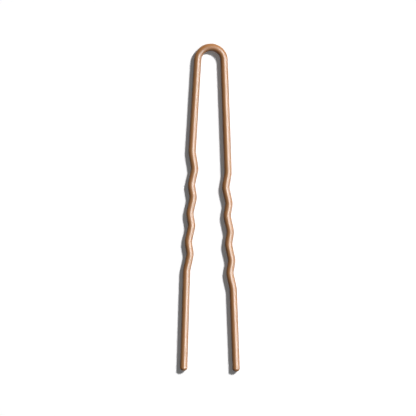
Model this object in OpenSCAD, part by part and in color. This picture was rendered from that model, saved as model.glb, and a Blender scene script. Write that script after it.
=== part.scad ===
// U-shaped waved hairpin, lying flat with its crown towards +Y.
// One length of round spring wire is bent into two legs, lacquered all over and
// dipped at both tips. Each leg springs sideways about a line high in its straight shank.

/* [Wire] */
// Diameter of the bare spring wire
wire_d = 1.4; // [0.8:0.05:1.8]
// Thickness of the lacquer on the wire
coat_t = 0.05; // [0.03:0.01:0.12]

/* [Crown] */
// Radius of the crown bend, to the middle of the wire
crown_r = 2.63; // [2:0.01:5]

/* [Shanks] */
// Length of the left shank, from the crown bend to the first wave corner
left_shank = 18.3; // [14:0.1:26]
// Length of the right shank, from the crown bend to the first wave corner
right_shank = 22.4; // [14:0.1:26]
// Outward lean of the left shank in degrees
left_shank_lean = 3.4; // [1:0.1:6]
// Outward lean of the right shank in degrees
right_shank_lean = 2; // [1:0.1:6]

/* [Waves] */
// Number of flanks between the shank and the straight end
wave_flanks = 8; // [4:2:10]
// Angle of each flank to the line of the waves
wave_angle = 11; // [7:0.5:13]
// Bend radius of each wave corner, to the middle of the wire
wave_r = 2.6; // [1.8:0.1:3.4]
// Length of a flank that runs inward, from corner to corner
inward_flank = 2.5; // [2.2:0.05:4]
// Length of a flank that runs outward, from corner to corner
outward_flank = 3.25; // [2.2:0.05:4]
// Length of the first flank of the left leg
left_first_flank = 3.4; // [2.2:0.05:4]
// Length of the first flank of the right leg
right_first_flank = 2.9; // [2.2:0.05:4]
// Outward lean of the left waves in degrees
left_wave_lean = 1.7; // [0:0.1:4]
// Outward lean of the right waves in degrees
right_wave_lean = 1.3; // [0:0.1:4]

/* [Ends] */
// Length of the left straight end, from the last wave corner to the tip
left_end = 19.95; // [8:0.05:26]
// Length of the right straight end, from the last wave corner to the tip
right_end = 16.4; // [8:0.05:26]
// Outward lean of the left straight end in degrees
left_end_lean = 1.7; // [0:0.1:4]
// Outward lean of the right straight end in degrees
right_end_lean = 2.1; // [0:0.1:4]
// Length of each tip that the dip covers
dip_len = 1.8; // [1.2:0.1:4]
// Height of the dome on each tip
dome_h = 0.55; // [0.45:0.05:0.65]
// Chamfer on the cut ends of the wire
end_chamfer = 0.2; // [0.1:0.05:0.3]

/* [Flex] */
// Distance of each leg's flex line from the crown bend
flex_drop = 8; // [4:0.5:10]
// Radius of the round end with which a leg sits in the crown
knuckle_r = 1; // [0.96:0.02:1.4]
// Running gap round that end
knuckle_gap = 0.03; // [0.02:0.01:0.08]

/* [Hidden] */
$fn = 48;

wire_r = wire_d / 2;
coat_r = wire_r + coat_t;
dome_r = (coat_r * coat_r + dome_h * dome_h) / (2 * dome_h);
// A straight runs this far into its bends, and is this much slimmer, so that no seam is tangent
lap = 0.01;
slim = 0.001;
// A coat's wave bends are this much tighter than its wire's, so that its straights outreach the wire's
tighter = 0.01;
steel = [0.62, 0.62, 0.64];
lacquer = [0.72, 0.51, 0.36];
dip = [0.66, 0.45, 0.30];

// A leg is [shank, shank lean, first flank, wave lean, end, end lean]. Leans count outward.
left_leg = [left_shank, left_shank_lean, left_first_flank, left_wave_lean, left_end, left_end_lean];
right_leg = [right_shank, right_shank_lean, right_first_flank, right_wave_lean, right_end, right_end_lean];

// Leans of the straights from the shank to the end, and their lengths from corner to corner
function leans(leg) = [
  leg[1],
  for (k = [1:wave_flanks]) leg[3] + (k % 2 == 1 ? -wave_angle : wave_angle),
  leg[5]
];
function lengths(leg) = [
  leg[0],
  leg[2],
  for (k = [2:wave_flanks]) k % 2 == 1 ? inward_flank : outward_flank,
  leg[4]
];

// Turn at the corner after straight i, and the length that the bend of a bar takes from each straight
function turn(leg, i) = i < 0 || i > wave_flanks ? 0 : leans(leg)[i + 1] - leans(leg)[i];
function bend_r(r) = r > wire_r ? wave_r - tighter : wave_r;
function bend_share(leg, i, r) = bend_r(r) * tan(abs(turn(leg, i)) / 2);
function straight_len(leg, i, r) = lengths(leg)[i] - bend_share(leg, i, r) - bend_share(leg, i - 1, r);

// Where straight i starts on the middle of the wire, from the crown's centre and with +X outward
function heading(lean) = [sin(lean), -cos(lean)];
function corner(leg, i) =
  i == 0 ? crown_r * [cos(leg[1]), sin(leg[1])]
  : corner(leg, i - 1) + lengths(leg)[i - 1] * heading(leans(leg)[i - 1]);
function flex_point(leg) = corner(leg, 0) + flex_drop * heading(leg[1]);
function tip(leg) = corner(leg, wave_flanks + 2);
function widest(leg) = tip(leg).x - dome_h * sin(leg[5]) + coat_r * cos(leg[5]);
function lowest(leg) = tip(leg).y + dome_r * cos(leg[5]) - dome_r;

// The part's origin: the middle of its outline, on the surface that it lies on
top_y = crown_r + coat_r;
low_y = min(lowest(left_leg), lowest(right_leg));
mid_x = (widest(right_leg) - widest(left_leg)) / 2;
mid_y = (top_y + low_y) / 2;

echo(length = top_y - low_y, width = widest(left_leg) + widest(right_leg), height = 2 * coat_r);
echo(crown_centre = [-mid_x, -mid_y, coat_r]);
echo(left_flex = [-flex_point(left_leg).x - mid_x, flex_point(left_leg).y - mid_y, coat_r]);
echo(right_flex = [flex_point(right_leg).x - mid_x, flex_point(right_leg).y - mid_y, coat_r]);
echo(left_tip = [-tip(left_leg).x - mid_x, tip(left_leg).y - mid_y, coat_r]);
echo(right_tip = [tip(right_leg).x - mid_x, tip(right_leg).y - mid_y, coat_r]);

// Puts the crown's centre in its place, and mirrors what belongs to the left leg
module placed(side = 1) {
  translate([-mid_x, -mid_y, coat_r]) mirror([side < 0 ? 1 : 0, 0, 0]) children();
}

// Goes from the crown's centre to a point down the shank, with the shank along -Y
module on_shank(leg, drop = 0) {
  rotate([0, 0, leg[1]]) translate([crown_r, -drop, 0]) children();
}

// Round bar along -Y, from a lap above the origin
module straight(len, r, past = lap) {
  translate([0, lap, 0]) rotate([90, 0, 0]) cylinder(r = r - slim, h = lap + len + past);
}

// Round bar bent anticlockwise about the origin, from the -X side on
module bend(angle, r) {
  rotate([0, 0, 180]) rotate_extrude(angle = angle) translate([bend_r(r), 0]) circle(r = r);
}

// The waves and the straight end, from the corner after straight i on, each in the frame of the last.
// The bar stops short of the tip, and a chamfer may follow.
module waves(leg, i, r, stop, chamfer, hand = 1) {
  angle = abs(turn(leg, i));
  side = turn(leg, i) * hand < 0 ? -1 : 1;
  len = straight_len(leg, i + 1, r);
  mirror([side < 0 ? 1 : 0, 0, 0]) translate([bend_r(r), 0, 0]) {
    bend(angle, r);
    rotate([0, 0, angle]) translate([-bend_r(r), 0, 0]) {
      if (i < wave_flanks) {
        straight(len, r);
        translate([0, -len, 0]) waves(leg, i + 1, r, stop, chamfer, hand * side);
      } else {
        straight(len - stop, r, 0);
        if (chamfer > 0) translate([0, stop - len, 0]) rotate([90, 0, 0])
          cylinder(r1 = r - slim, r2 = r - slim - chamfer, h = chamfer);
      }
    }
  }
}

// One leg's bar from a knuckle's radius above the flex line, with the flex point at the origin
module leg_bar(leg, r, stop, chamfer = 0) {
  len = straight_len(leg, 0, r) - flex_drop;
  translate([0, knuckle_r, 0]) straight(knuckle_r + len, r);
  translate([0, -len, 0]) waves(leg, 0, r, stop, chamfer);
}

// What a knuckle leaves out: all above the flex line but a round about it
module above_knuckle() {
  block = 4 * knuckle_r;
  difference() {
    translate([-block / 2, 0, -block / 2]) cube(block);
    cylinder(r = knuckle_r, h = 2 * block, center = true);
  }
}

// The crown bend with the top of both shanks
module crown_bar(r) {
  rotate([0, 0, right_shank_lean]) rotate_extrude(angle = 180 - left_shank_lean - right_shank_lean)
    translate([crown_r, 0]) circle(r = r);
  on_shank(right_leg) straight(flex_drop, r);
  mirror([1, 0, 0]) on_shank(left_leg) straight(flex_drop, r);
}

// The hollows in the crown's ends, in which the legs' knuckles turn
module hollows() {
  for (side = [-1, 1]) mirror([side < 0 ? 1 : 0, 0, 0]) on_shank(side < 0 ? left_leg : right_leg, flex_drop)
    cylinder(r = knuckle_r + knuckle_gap, h = 4 * coat_r, center = true);
}

module crown_wire() {
  color(steel) placed() difference() {
    crown_bar(wire_r);
    hollows();
  }
}

module crown_coat() {
  color(lacquer) placed() difference() {
    crown_bar(coat_r);
    crown_bar(wire_r);
    hollows();
  }
}

module leg_wire(leg, side) {
  color(steel) placed(side) on_shank(leg, flex_drop) difference() {
    leg_bar(leg, wire_r, dome_h, end_chamfer);
    above_knuckle();
  }
}

module leg_coat(leg, side) {
  color(lacquer) placed(side) on_shank(leg, flex_drop) difference() {
    leg_bar(leg, coat_r, dip_len);
    leg_bar(leg, wire_r, dome_h);
    above_knuckle();
  }
}

// The drop that the dip leaves on a tip: a sleeve on the wire and a dome over its cut end
module tip_drop(leg, side) {
  sleeve = dip_len - dome_h;
  color(dip) placed(side) translate([tip(leg).x, tip(leg).y, 0]) rotate([90, 0, leg[5]])
    translate([0, 0, -dip_len]) difference() {
      intersection() {
        cylinder(r = coat_r - slim, h = dip_len);
        union() {
          translate([0, 0, dip_len - dome_r]) sphere(r = dome_r);
          cylinder(r = 2 * coat_r, h = dip_len - dome_h);
        }
      }
      translate([0, 0, -lap]) cylinder(r = wire_r, h = sleeve + lap);
      translate([0, 0, sleeve]) cylinder(r1 = wire_r, r2 = wire_r - end_chamfer, h = end_chamfer);
    }
}

crown_wire();
leg_wire(left_leg, -1);  // left_leg_wire
leg_wire(right_leg, 1);  // right_leg_wire
crown_coat();
leg_coat(left_leg, -1);  // left_leg_coat
leg_coat(right_leg, 1);  // right_leg_coat
tip_drop(left_leg, -1);  // left_tip_drop
tip_drop(right_leg, 1);  // right_tip_drop
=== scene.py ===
"""A waved hairpin of bronze-lacquered spring wire, lying on a white table and seen from straight above."""

import math

import bmesh
import bpy
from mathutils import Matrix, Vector


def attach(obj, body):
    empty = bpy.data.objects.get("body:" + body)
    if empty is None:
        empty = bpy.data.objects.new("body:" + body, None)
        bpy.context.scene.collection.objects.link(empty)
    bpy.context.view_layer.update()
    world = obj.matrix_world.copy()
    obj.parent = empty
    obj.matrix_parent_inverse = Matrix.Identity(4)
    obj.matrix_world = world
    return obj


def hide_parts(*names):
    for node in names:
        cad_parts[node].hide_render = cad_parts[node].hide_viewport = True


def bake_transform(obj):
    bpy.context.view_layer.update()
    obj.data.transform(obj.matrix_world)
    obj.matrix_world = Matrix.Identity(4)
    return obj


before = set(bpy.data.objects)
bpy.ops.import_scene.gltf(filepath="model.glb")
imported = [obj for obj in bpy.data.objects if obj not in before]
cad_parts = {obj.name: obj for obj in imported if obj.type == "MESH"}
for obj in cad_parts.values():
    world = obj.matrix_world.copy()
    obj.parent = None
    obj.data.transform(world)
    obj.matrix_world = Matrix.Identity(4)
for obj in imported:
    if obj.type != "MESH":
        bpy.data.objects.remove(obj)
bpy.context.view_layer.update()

scene = bpy.context.scene
MM = 0.001

# Camera. The photograph looks straight down on the pin, with its crown at the top, through a
# long lens: a frame of 416 pixels spans 82.4 mm at the height of the wire's middle.
WIRE_MIDDLE = 0.75 * MM
FRAME_WIDTH = 82.40 * MM
SENSOR_WIDTH = 36
CAMERA_HEIGHT = 0.7
CAMERA_XY = (-0.357 * MM, -0.072 * MM)

camera = bpy.data.objects.new("camera", bpy.data.cameras.new("camera"))
camera.data.sensor_width = SENSOR_WIDTH
camera.data.lens = SENSOR_WIDTH * CAMERA_HEIGHT / FRAME_WIDTH
camera.data.clip_start = 0.01
camera.location = (*CAMERA_XY, WIRE_MIDDLE + CAMERA_HEIGHT)
scene.collection.objects.link(camera)
scene.camera = camera
scene.view_settings.view_transform = "Standard"


# Spring wire. The real pin is one length of 1.4 mm round, hard-drawn carbon steel wire, bent
# cold round a former. Its crown is one bend of 175 degrees, and each leg is then pressed into
# four waves. The lacquer hides it all, so its own grey drawn finish shows nowhere.
WIRE_R = 0.7
CROWN_R = 2.63
CROWN_CENTRE = (0.18742, 29.1285, 0.75)
LEAN = {"left": 3.4, "right": 2.0}
LEGS = {
    "left": {
        "Side": -1.0, "Shank": 18.3, "Shank lean": LEAN["left"], "First flank": 3.4,
        "Wave lean": 1.7, "End": 19.95, "End lean": 1.7,
    },
    "right": {
        "Side": 1.0, "Shank": 22.4, "Shank lean": LEAN["right"], "First flank": 2.9,
        "Wave lean": 1.3, "End": 16.4, "End lean": 2.1,
    },
}
WAVES = {"Flanks": 8, "Wave angle": 11.0, "Inward flank": 2.5, "Outward flank": 3.25, "Bend radius": 2.6}
# The wire's cut end stops under the tip drop's dome, which is this high
DOME_H = 0.55
# The crown's pieces end, and the legs' begin, this far below the crown bend
SEAM_DROP = 0.5
# How fine the bar is: sides round it, rings on the crown, ring spacing on a leg, steps in a wave bend
SIDES = 64
CROWN_RINGS = 96
RING_STEP = 0.16
BEND_STEPS = 24
# Edges that turn more than this stay sharp, and doubles closer than this in metres are merged
SHARP = math.radians(40)
SAME_SPOT = 1e-7


def add(tree, kind, inputs=(), **settings):
    """Adds a node with its settings, and links or sets its inputs."""
    node = tree.nodes.new(kind)
    for name, value in settings.items():
        setattr(node, name, value)
    for key, value in dict(inputs).items():
        if isinstance(value, bpy.types.NodeSocket):
            tree.links.new(value, node.inputs[key])
        else:
            node.inputs[key].default_value = value
    return node


def maths(tree, operation, a, b=0.0, c=0.0):
    return add(tree, "ShaderNodeMath", {0: a, 1: b, 2: c}, operation=operation).outputs[0]


def scaled(tree, vector, factor):
    return add(tree, "ShaderNodeVectorMath", {0: vector, "Scale": factor}, operation="SCALE").outputs[0]


def linear(code, alpha=1.0):
    """The linear colour of an sRGB hex value."""
    parts = [int(code[i:i + 2], 16) / 255 for i in (1, 3, 5)]
    return (*[c / 12.92 if c <= 0.04045 else ((c + 0.055) / 1.055) ** 2.4 for c in parts], alpha)


def new_material(name):
    material = bpy.data.materials.new(name)
    material.use_nodes = True
    material.node_tree.nodes.clear()
    return material, material.node_tree


def unbent_place(tree):
    """Each point's place on the wire before it was bent, from the attribute that the sweep keeps."""
    return add(tree, "ShaderNodeAttribute", attribute_name="unbent").outputs["Vector"]


def cells(tree, place, width, detail):
    """Noise whose cells are this many millimetres wide."""
    return add(tree, "ShaderNodeTexNoise", {
        "Vector": place, "Scale": 1 / (width * MM), "Detail": detail}).outputs["Fac"]


def die_lines(tree, place, width, share):
    """Lines along the wire, this many millimetres wide: noise that is read at only this share of
    its pace along it, so that its cells draw out."""
    along = add(tree, "ShaderNodeMapping", {"Vector": place, "Scale": (1, 1, share)}).outputs[0]
    return cells(tree, along, width, 2)


def drawn_steel():
    """Hard-drawn carbon steel wire: a grey metal with the fine die lines of its drawing along it."""
    material, tree = new_material("drawn_spring_steel")
    lines = die_lines(tree, unbent_place(tree), 0.06, 0.02)
    rough = add(tree, "ShaderNodeMapRange", {"Value": lines, "To Min": 0.26, "To Max": 0.42})
    bump = add(tree, "ShaderNodeBump", {"Height": lines, "Strength": 0.25, "Distance": 0.004 * MM})
    shader = add(tree, "ShaderNodeBsdfPrincipled", {
        "Base Color": linear("#a9a7a2"), "Metallic": 1.0,
        "Roughness": rough.outputs[0], "Normal": bump.outputs[0]})
    add(tree, "ShaderNodeOutputMaterial", {"Surface": shader.outputs[0]})
    return material


def tree_with(name, inputs):
    """A geometry tree with a Centre, a Material and these named inputs, in millimetres and degrees."""
    tree = bpy.data.node_groups.new(name, "GeometryNodeTree")
    kinds = {bool: "NodeSocketBool", int: "NodeSocketInt", float: "NodeSocketFloat"}
    for label, value in inputs.items():
        socket = tree.interface.new_socket(label, in_out="INPUT", socket_type=kinds[type(value)])
        socket.default_value = value
    tree.interface.new_socket("Centre", in_out="INPUT", socket_type="NodeSocketVector")
    tree.interface.new_socket("Material", in_out="INPUT", socket_type="NodeSocketMaterial")
    tree.interface.new_socket("Geometry", in_out="OUTPUT", socket_type="NodeSocketGeometry")
    return tree, tree.nodes.new("NodeGroupInput").outputs


def heading(tree, degrees):
    """Unit vector down a leg that leans outward by this many degrees, with outward along +X."""
    lean = maths(tree, "RADIANS", degrees)
    down = maths(tree, "MULTIPLY", maths(tree, "COSINE", lean), -1.0)
    return add(tree, "ShaderNodeCombineXYZ", {"X": maths(tree, "SINE", lean), "Y": down}).outputs[0]


def sweep(tree, given, curve, length_before):
    """Rings of the bar along a curve, with each point's place on the straight wire kept in 'unbent'."""
    upright = add(tree, "GeometryNodeSetCurveNormal", {"Curve": curve}, mode="Z_UP").outputs[0]
    path = add(tree, "GeometryNodeCaptureAttribute", {"Geometry": upright}, domain="POINT")
    path.capture_items.new("FLOAT", "along")
    tree.links.new(add(tree, "GeometryNodeSplineParameter").outputs["Length"], path.inputs["along"])
    circle = add(tree, "GeometryNodeCurvePrimitiveCircle", {
        "Resolution": given["Sides"], "Radius": given["Bar radius"]}, mode="RADIUS").outputs[0]
    section = add(tree, "GeometryNodeCaptureAttribute", {"Geometry": circle}, domain="POINT")
    section.capture_items.new("VECTOR", "across")
    tree.links.new(add(tree, "GeometryNodeInputPosition").outputs[0], section.inputs["across"])
    bar = add(tree, "GeometryNodeCurveToMesh", {
        "Curve": path.outputs["Geometry"], "Profile Curve": section.outputs["Geometry"],
        "Fill Caps": given["Solid"]}).outputs[0]
    far = maths(tree, "ADD", path.outputs["along"], length_before)
    lift = add(tree, "ShaderNodeCombineXYZ", {"Z": far}).outputs[0]
    unbent = add(tree, "ShaderNodeVectorMath", {0: section.outputs["across"], 1: lift}, operation="ADD")
    return add(tree, "GeometryNodeStoreNamedAttribute", {
        "Geometry": bar, "Name": "unbent", "Value": scaled(tree, unbent.outputs[0], MM)},
        data_type="FLOAT_VECTOR", domain="POINT").outputs[0]


def close(tree, given, mesh, side):
    """Moves the bar to its place in metres, makes it smooth, and gives it its material."""
    across = maths(tree, "MULTIPLY", side, MM)
    mirrored = add(tree, "ShaderNodeCombineXYZ", {"X": across, "Y": MM, "Z": MM}).outputs[0]
    placed = add(tree, "GeometryNodeTransform", {
        "Geometry": mesh, "Translation": scaled(tree, given["Centre"], MM), "Scale": mirrored}).outputs[0]
    smooth = add(tree, "GeometryNodeSetShadeSmooth", {"Geometry": placed}).outputs[0]
    real = add(tree, "GeometryNodeRealizeInstances", {"Geometry": smooth}).outputs[0]
    done = add(tree, "GeometryNodeSetMaterial", {"Geometry": real, "Material": given["Material"]}).outputs[0]
    add(tree, "NodeGroupOutput", {"Geometry": done})


def crown_tree():
    """A straight bar bent round the former: whatever has passed the bend's start turns with it."""
    tree, given = tree_with("crown_bend", {
        "Bar radius": WIRE_R, "Crown radius": CROWN_R, "First angle": LEAN["right"],
        "Last angle": 180 - LEAN["left"], "Straight": SEAM_DROP, "Rings": CROWN_RINGS,
        "Sides": SIDES, "Solid": False})
    radius = given["Crown radius"]
    first = maths(tree, "RADIANS", given["First angle"])
    turn = maths(tree, "SUBTRACT", maths(tree, "RADIANS", given["Last angle"]), first)
    total = maths(tree, "MULTIPLY_ADD", given["Straight"], 2.0, maths(tree, "MULTIPLY", turn, radius))
    line = add(tree, "GeometryNodeCurvePrimitiveLine", {"End": (0, 0, 1)}, mode="POINTS").outputs[0]
    rings = add(tree, "GeometryNodeResampleCurve", {
        "Curve": line, "Count": given["Rings"]}, mode="COUNT").outputs[0]
    share = add(tree, "GeometryNodeSplineParameter").outputs["Factor"]
    run = maths(tree, "SUBTRACT", maths(tree, "MULTIPLY", share, total), given["Straight"])
    passed = add(tree, "ShaderNodeClamp", {
        "Value": maths(tree, "DIVIDE", run, radius), "Min": 0.0, "Max": turn}).outputs[0]
    angle = maths(tree, "ADD", passed, first)
    rest = maths(tree, "SUBTRACT", run, maths(tree, "MULTIPLY", passed, radius))
    cosine, sine = maths(tree, "COSINE", angle), maths(tree, "SINE", angle)
    x = maths(tree, "SUBTRACT", maths(tree, "MULTIPLY", cosine, radius), maths(tree, "MULTIPLY", sine, rest))
    y = maths(tree, "ADD", maths(tree, "MULTIPLY", sine, radius), maths(tree, "MULTIPLY", cosine, rest))
    place = add(tree, "ShaderNodeCombineXYZ", {"X": x, "Y": y}).outputs[0]
    bent = add(tree, "GeometryNodeSetPosition", {"Geometry": rings, "Position": place}).outputs[0]
    close(tree, given, sweep(tree, given, bent, maths(tree, "MULTIPLY", total, -0.5)), 1.0)
    return tree


def leg_tree():
    """A leg from the crown bend down: its corners are laid out flank by flank, then rounded and swept."""
    tree, given = tree_with("waved_leg", {
        "Bar radius": WIRE_R, "Crown radius": CROWN_R, **LEGS["left"], **WAVES,
        "From": SEAM_DROP, "Short of the tip": DOME_H, "Ring step": RING_STEP,
        "Sides": SIDES, "Solid": False})
    index = add(tree, "GeometryNodeInputIndex").outputs[0]

    def is_at(number):
        return add(tree, "FunctionNodeCompare", {
            2: index, 3: number}, data_type="INT", operation="EQUAL").outputs[0]

    def choose(test, if_not, if_so):
        return add(tree, "GeometryNodeSwitch", {
            "Switch": test, "False": if_not, "True": if_so}, input_type="FLOAT").outputs[0]

    # Straight 0 is the shank, straight 1 the first flank, and the last one the straight end
    last = maths(tree, "ADD", given["Flanks"], 1.0)
    odd = maths(tree, "MODULO", index, 2.0)
    swing = maths(tree, "MULTIPLY", given["Wave angle"], maths(tree, "MULTIPLY_ADD", odd, -2.0, 1.0))
    lean = maths(tree, "ADD", given["Wave lean"], swing)
    lean = choose(is_at(0), choose(is_at(last), lean, given["End lean"]), given["Shank lean"])
    length = choose(odd, given["Outward flank"], given["Inward flank"])
    length = choose(is_at(1), choose(is_at(last), length, given["End"]), given["First flank"])
    length = choose(is_at(0), length, given["Shank"])
    reached = add(tree, "GeometryNodeAccumulateField", {
        "Value": scaled(tree, heading(tree, lean), length)}, data_type="FLOAT_VECTOR").outputs["Trailing"]
    shank = maths(tree, "RADIANS", given["Shank lean"])
    outward = add(tree, "ShaderNodeCombineXYZ", {
        "X": maths(tree, "COSINE", shank), "Y": maths(tree, "SINE", shank)}).outputs[0]
    start = scaled(tree, outward, given["Crown radius"])
    corner = add(tree, "ShaderNodeVectorMath", {0: start, 1: reached}, operation="ADD").outputs[0]

    line = add(tree, "GeometryNodeMeshLine", {"Count": maths(tree, "ADD", last, 2.0)}).outputs[0]
    corners = add(tree, "GeometryNodeSetPosition", {"Geometry": line, "Position": corner}).outputs[0]
    flanks = add(tree, "GeometryNodeMeshToCurve", {"Mesh": corners}).outputs[0]
    rounded = add(tree, "GeometryNodeFilletCurve", {
        "Curve": flanks, "Radius": given["Bend radius"], "Count": BEND_STEPS}, mode="POLY").outputs[0]
    whole = add(tree, "GeometryNodeCurveLength", {"Curve": rounded}).outputs[0]
    end = maths(tree, "SUBTRACT", whole, given["Short of the tip"])
    cut = add(tree, "GeometryNodeTrimCurve", {
        "Curve": rounded, 4: given["From"], 5: end}, mode="LENGTH").outputs[0]
    rings = add(tree, "GeometryNodeResampleCurve", {
        "Curve": cut, "Length": given["Ring step"]}, mode="LENGTH").outputs[0]
    close(tree, given, sweep(tree, given, rings, given["From"]), given["Side"])
    return tree


def plain(name, source):
    """The evaluated result of a source object as a plain mesh object of its own at the origin."""
    depsgraph = bpy.context.evaluated_depsgraph_get()
    mesh = bpy.data.meshes.new_from_object(
        source.evaluated_get(depsgraph), preserve_all_data_layers=True, depsgraph=depsgraph)
    mesh.name = name
    bpy.data.objects.remove(source)
    piece = bpy.data.objects.new(name, mesh)
    scene.collection.objects.link(piece)
    return piece


def sharpen(mesh):
    """Keeps the edges of cut ends and rims sharp, and everything else smooth."""
    for edge in mesh.edges:
        edge.smooth = len(edge.link_faces) == 2 and edge.calc_face_angle(0) < SHARP


def made(name, tree, values):
    """Runs a tree with these input values and returns the swept bar, facing outwards."""
    source = bpy.data.objects.new(name + "_source", bpy.data.meshes.new(name + "_source"))
    scene.collection.objects.link(source)
    modifier = source.modifiers.new("shape", "NODES")
    modifier.node_group = tree
    sockets = {item.name: item.identifier for item in tree.interface.items_tree if item.in_out == "INPUT"}
    for label, value in values.items():
        modifier[sockets[label]] = value
    piece = plain(name, source)
    mesh = bmesh.new()
    mesh.from_mesh(piece.data)
    bmesh.ops.remove_doubles(mesh, verts=mesh.verts, dist=SAME_SPOT)
    bmesh.ops.recalc_face_normals(mesh, faces=mesh.faces)
    sharpen(mesh)
    mesh.to_mesh(piece.data)
    mesh.free()
    return piece


def flex(piece):
    """Bakes a leg's piece's placement into its mesh."""
    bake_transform(piece)


crown_bend = crown_tree()
waved_leg = leg_tree()
steel = drawn_steel()

crown_core = made("crown_core", crown_bend, {
    "Bar radius": WIRE_R, "Centre": CROWN_CENTRE, "Solid": True, "Material": steel})
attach(crown_core, "crown")
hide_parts("crown_wire")
for side, sizes in LEGS.items():
    core = made(side + "_leg_core", waved_leg, {
        **sizes, **WAVES, "Bar radius": WIRE_R, "Centre": CROWN_CENTRE, "Solid": True, "Material": steel})
    flex(core)
    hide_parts(side + "_leg_wire")


# Lacquer. The bent wire is dipped in bronze lacquer and baked: a coat of 0.05 mm that follows
# every bend. It is one unbroken coat on the real pin, and comes as three lengths here, which
# meet face to face on the straight wire just below the crown.
COAT_T = 0.05
# The outside is 0.003 mm short of its full radius, so that it stays inside the coarser CAD facets
COAT_R = WIRE_R + COAT_T - 0.003
# The tip drops take over from the coat this far from each tip
DIP_LEN = 1.8


def bronze_lacquer():
    """Baked bronze lacquer, brown pigment in clear resin: a deep brown in the shade, a pale sheen
    towards the light, and a soft gloss with a little orange peel, weaker than bare resin's."""
    material, tree = new_material("baked_bronze_lacquer")
    place = unbent_place(tree)
    # Orange peel of the baked coat: soft cells 0.35 mm across and about a micrometre high
    peel = cells(tree, place, 0.35, 1.5)
    # Faint die lines of the wire below, drawn 0.1 mm wide and coarser than the real ones so that they show
    lines = die_lines(tree, place, 0.1, 0.03)
    # The coat pools and thins a little over 4 mm along the wire
    pooling = cells(tree, place, 4, 2)
    colour = add(tree, "ShaderNodeMix", {
        "Factor": pooling, 6: linear("#a57040"), 7: linear("#af7848")}, data_type="RGBA")
    rough = add(tree, "ShaderNodeMapRange", {"Value": lines, "To Min": 0.36, "To Max": 0.46})
    height = {"Strength": 0.12, "Distance": 0.002 * MM}
    relief = add(tree, "ShaderNodeBump", {"Height": peel, **height})
    grain = add(tree, "ShaderNodeBump", {"Height": lines, **height, "Normal": relief.outputs[0]})
    shader = add(tree, "ShaderNodeBsdfPrincipled", {
        "Base Color": colour.outputs[2], "Metallic": 0.0, "Roughness": rough.outputs[0], "IOR": 1.35,
        "Normal": grain.outputs[0]})
    add(tree, "ShaderNodeOutputMaterial", {"Surface": shader.outputs[0]})
    return material


def coated(skin):
    """Gives the coat's open skin its wall, inwards to the wire."""
    name = skin.name
    skin.name = name + "_skin"
    wall = skin.modifiers.new("wall", "SOLIDIFY")
    wall.thickness = (COAT_R - WIRE_R) * MM
    wall.offset = -1
    piece = plain(name, skin)
    mesh = bmesh.new()
    mesh.from_mesh(piece.data)
    sharpen(mesh)
    mesh.to_mesh(piece.data)
    mesh.free()
    return piece


lacquer = bronze_lacquer()
crown_coat = coated(made("crown_lacquer", crown_bend, {
    "Bar radius": COAT_R, "Centre": CROWN_CENTRE, "Material": lacquer}))
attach(crown_coat, "crown")
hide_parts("crown_coat")
for side, sizes in LEGS.items():
    coat = coated(made(side + "_leg_lacquer", waved_leg, {
        **sizes, **WAVES, "Bar radius": COAT_R, "Centre": CROWN_CENTRE, "Short of the tip": DIP_LEN,
        "Material": lacquer}))
    flex(coat)
    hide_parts(side + "_leg_coat")


# Tip drops. Each cut end is dipped again, so that it doesn't scratch: a drop of the same
# lacquer, level with the coat at its upper edge, with a round shoulder and a low dome.
END_CHAMFER = 0.2
SHOULDER_R = 0.09
# A ring that is narrower than this closes in one point
POLE_R = 1e-6
WALL_STEPS = 10
SHOULDER_STEPS = 8
DOME_STEPS = 12


def tip_of(side):
    """The end of a leg's middle line and the direction it points, by walking the leg's straights."""
    leg = LEGS[side]
    inward, outward = leg["Wave lean"] - WAVES["Wave angle"], leg["Wave lean"] + WAVES["Wave angle"]
    straights = [(leg["Shank"], leg["Shank lean"]), (leg["First flank"], inward)]
    for k in range(2, WAVES["Flanks"] + 1):
        straights.append((WAVES["Inward flank"], inward) if k % 2 else (WAVES["Outward flank"], outward))
    straights.append((leg["End"], leg["End lean"]))
    lean = math.radians(leg["Shank lean"])
    spot = Vector((math.cos(lean), math.sin(lean))) * CROWN_R
    for length, degrees in straights:
        spot += length * Vector((math.sin(math.radians(degrees)), -math.cos(math.radians(degrees))))
    hand, lean = leg["Side"], math.radians(leg["End lean"])
    tip = Vector(CROWN_CENTRE) + Vector((hand * spot.x, spot.y, 0))
    return tip, Vector((hand * math.sin(lean), -math.cos(lean), 0)).normalized()


def drop_outline():
    """Half section of a drop as (distance behind the tip, radius): outside from the upper edge to
    the tip, then the socket that the wire's end fills, back to the edge."""
    dome_r = (COAT_R ** 2 + DOME_H ** 2) / (2 * DOME_H)
    # The shoulder is an arc tangent to the cylinder and to the dome
    inset = COAT_R - SHOULDER_R
    reach = dome_r - SHOULDER_R
    back = dome_r - math.sqrt(reach ** 2 - inset ** 2)
    meets = math.asin(inset / reach)
    wall = DIP_LEN - DOME_H - SHOULDER_R
    outline = [(DIP_LEN - wall * k / WALL_STEPS, COAT_R) for k in range(WALL_STEPS + 1)]
    outline.append((back, COAT_R))
    for k in range(1, SHOULDER_STEPS + 1):
        t = math.pi / 2 + (meets - math.pi / 2) * k / SHOULDER_STEPS
        outline.append((back - SHOULDER_R * math.cos(t), inset + SHOULDER_R * math.sin(t)))
    for k in range(1, DOME_STEPS + 1):
        t = meets * (1 - k / DOME_STEPS)
        outline.append((dome_r - dome_r * math.cos(t), dome_r * math.sin(t)))
    socket = [(DOME_H, 0.0), (DOME_H, WIRE_R - END_CHAMFER)]
    return outline + socket + [(DOME_H + END_CHAMFER, WIRE_R), (DIP_LEN, WIRE_R)]


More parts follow.
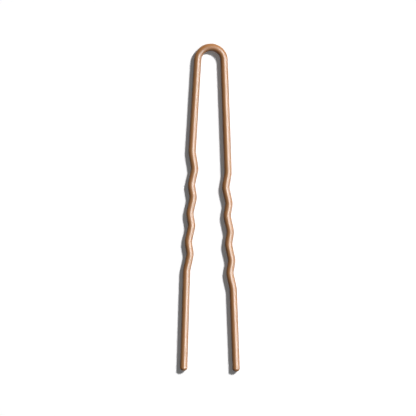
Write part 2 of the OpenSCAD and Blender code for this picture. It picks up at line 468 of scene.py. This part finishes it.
def tip_drop(side):
    """Turns the outline round the leg's end and closes it where it meets the middle line."""
    tip, forward = tip_of(side)
    sideways = Vector((0, 0, 1)).cross(forward)
    circle = [(math.cos(2 * math.pi * k / SIDES), math.sin(2 * math.pi * k / SIDES)) for k in range(SIDES)]
    mesh = bmesh.new()
    unbent = mesh.verts.layers.float_vector.new("unbent")
    rings = []
    for behind, radius in drop_outline():
        ring = []
        for across, up in [(radius * x, radius * y) for x, y in circle] if radius > POLE_R else [(0.0, 0.0)]:
            vertex = mesh.verts.new((tip - behind * forward + across * sideways + Vector((0, 0, up))) * MM)
            vertex[unbent] = Vector((across, up, -behind)) * MM
            ring.append(vertex)
        rings.append(ring)
    rings.append(rings[0])
    for one, two in zip(rings, rings[1:]):
        for k in range(SIDES):
            corners = [one[k % len(one)], one[(k + 1) % len(one)], two[(k + 1) % len(two)], two[k % len(two)]]
            corners = list(dict.fromkeys(corners))
            if len(corners) > 2:
                mesh.faces.new(corners)
    bmesh.ops.recalc_face_normals(mesh, faces=mesh.faces)
    for face in mesh.faces:
        face.smooth = True
    sharpen(mesh)
    data = bpy.data.meshes.new(side + "_tip_lacquer")
    mesh.to_mesh(data)
    mesh.free()
    data.materials.append(lacquer)
    piece = bpy.data.objects.new(side + "_tip_lacquer", data)
    scene.collection.objects.link(piece)
    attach(piece, side + "_leg")
    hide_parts(side + "_tip_drop")


for side in LEGS:
    tip_drop(side)


# Table and studio. A white paper table and a key lamp from the upper right, which throws the
# crisp grey shadow. A strip and a low soft box on the right give the wire its gloss, and a
# black card on the left keeps that side of it deep.
KEY_FROM = Vector((0.74, 0.67, 1.0))
KEY_WIDTH = math.radians(8)
# The key lamp's light on the table, where 1 makes white paper white
KEY_LEVEL = 0.86
# The light from all round, which reaches into the shadows
AMBIENT = 0.06
# What is seen of the table glows by this much, and sets how grey the shadow is
GLOW = 0.125
GLOW_COLOUR = (0.95, 0.98, 1, 1)
# How white the table is to be seen, and to the light that it throws back on the pin
SEEN_WHITE = (1, 1, 1, 1)
THROWN_BACK = (0.3, 0.3, 0.3, 1)
SOFT_BOX_DISTANCE = 0.6


def seen_rays(tree):
    """1 for the rays that see the table and the studio: from the camera, from gloss and through glass."""
    rays = add(tree, "ShaderNodeLightPath").outputs
    direct = maths(tree, "MAXIMUM", rays["Is Camera Ray"], rays["Is Glossy Ray"])
    return maths(tree, "MAXIMUM", direct, rays["Is Transmission Ray"])


def sheet(name, corners, material):
    """A flat sheet of the studio."""
    data = bpy.data.meshes.new(name)
    data.from_pydata(corners, [], [(0, 1, 2, 3)])
    data.materials.append(material)
    obj = bpy.data.objects.new(name, data)
    scene.collection.objects.link(obj)
    return obj


def lamp(name, kind, direction, distance, power, **settings):
    data = bpy.data.lights.new(name, kind)
    data.energy = power
    for key, value in settings.items():
        setattr(data, key, value)
    obj = bpy.data.objects.new(name, data)
    obj.location = direction.normalized() * distance
    obj.rotation_euler = direction.to_track_quat("Z", "Y").to_euler()
    scene.collection.objects.link(obj)
    return obj


def gloss_lamp(name, direction, radiance, width, height, **settings):
    """A soft box that shows in the gloss alone. Importance sampling would let some of its light
    into the diffuse colour too, so it is off."""
    box = lamp(name, "AREA", direction, SOFT_BOX_DISTANCE, radiance * math.pi * width * height,
               shape="RECTANGLE", size=width, size_y=height, **settings)
    box.visible_diffuse = False
    box.data.cycles.use_multiple_importance_sampling = False


white, tree = new_material("white_paper")
seen = seen_rays(tree)
paper = add(tree, "ShaderNodeMix", {"Factor": seen, 6: THROWN_BACK, 7: SEEN_WHITE}, data_type="RGBA")
surface = add(tree, "ShaderNodeBsdfDiffuse", {"Color": paper.outputs[2]})
glow = add(tree, "ShaderNodeEmission", {
    "Color": GLOW_COLOUR, "Strength": maths(tree, "MULTIPLY", seen, GLOW)})
lit = add(tree, "ShaderNodeAddShader", {0: surface.outputs[0], 1: glow.outputs[0]})
add(tree, "ShaderNodeOutputMaterial", {"Surface": lit.outputs[0]})
table_top = sheet("table", [(-3, -3, 0), (3, -3, 0), (3, 3, 0), (-3, 3, 0)], white)

world = bpy.data.worlds.new("studio")
world.use_nodes = True
world.node_tree.nodes.clear()
strength = maths(world.node_tree, "MAXIMUM", seen_rays(world.node_tree), AMBIENT)
background = add(world.node_tree, "ShaderNodeBackground", {"Color": (1, 1, 1, 1), "Strength": strength})
add(world.node_tree, "ShaderNodeOutputWorld", {"Surface": background.outputs[0]})
scene.world = world

lamp("key", "SUN", KEY_FROM, 1.0, math.pi * KEY_LEVEL / KEY_FROM.normalized().z, angle=KEY_WIDTH)
gloss_lamp("strip", Vector((0.51, 0.0, 0.86)), 54, 0.6, 0.24, color=(0.88, 0.98, 1.0))
gloss_lamp("low", Vector((0.94, 0.0, 0.34)), 21, 0.5, 0.4)

felt, tree = new_material("black_felt")
surface = add(tree, "ShaderNodeBsdfDiffuse", {"Color": linear("#0a0a0a")})
add(tree, "ShaderNodeOutputMaterial", {"Surface": surface.outputs[0]})
dark_card = sheet("dark_card", [
    (-0.01, -0.8, 0.45), (-0.01, 0.8, 0.45), (-0.6, 0.8, 0.0), (-0.6, -0.8, 0.0)], felt)
dark_card.visible_camera = False
dark_card.visible_shadow = False
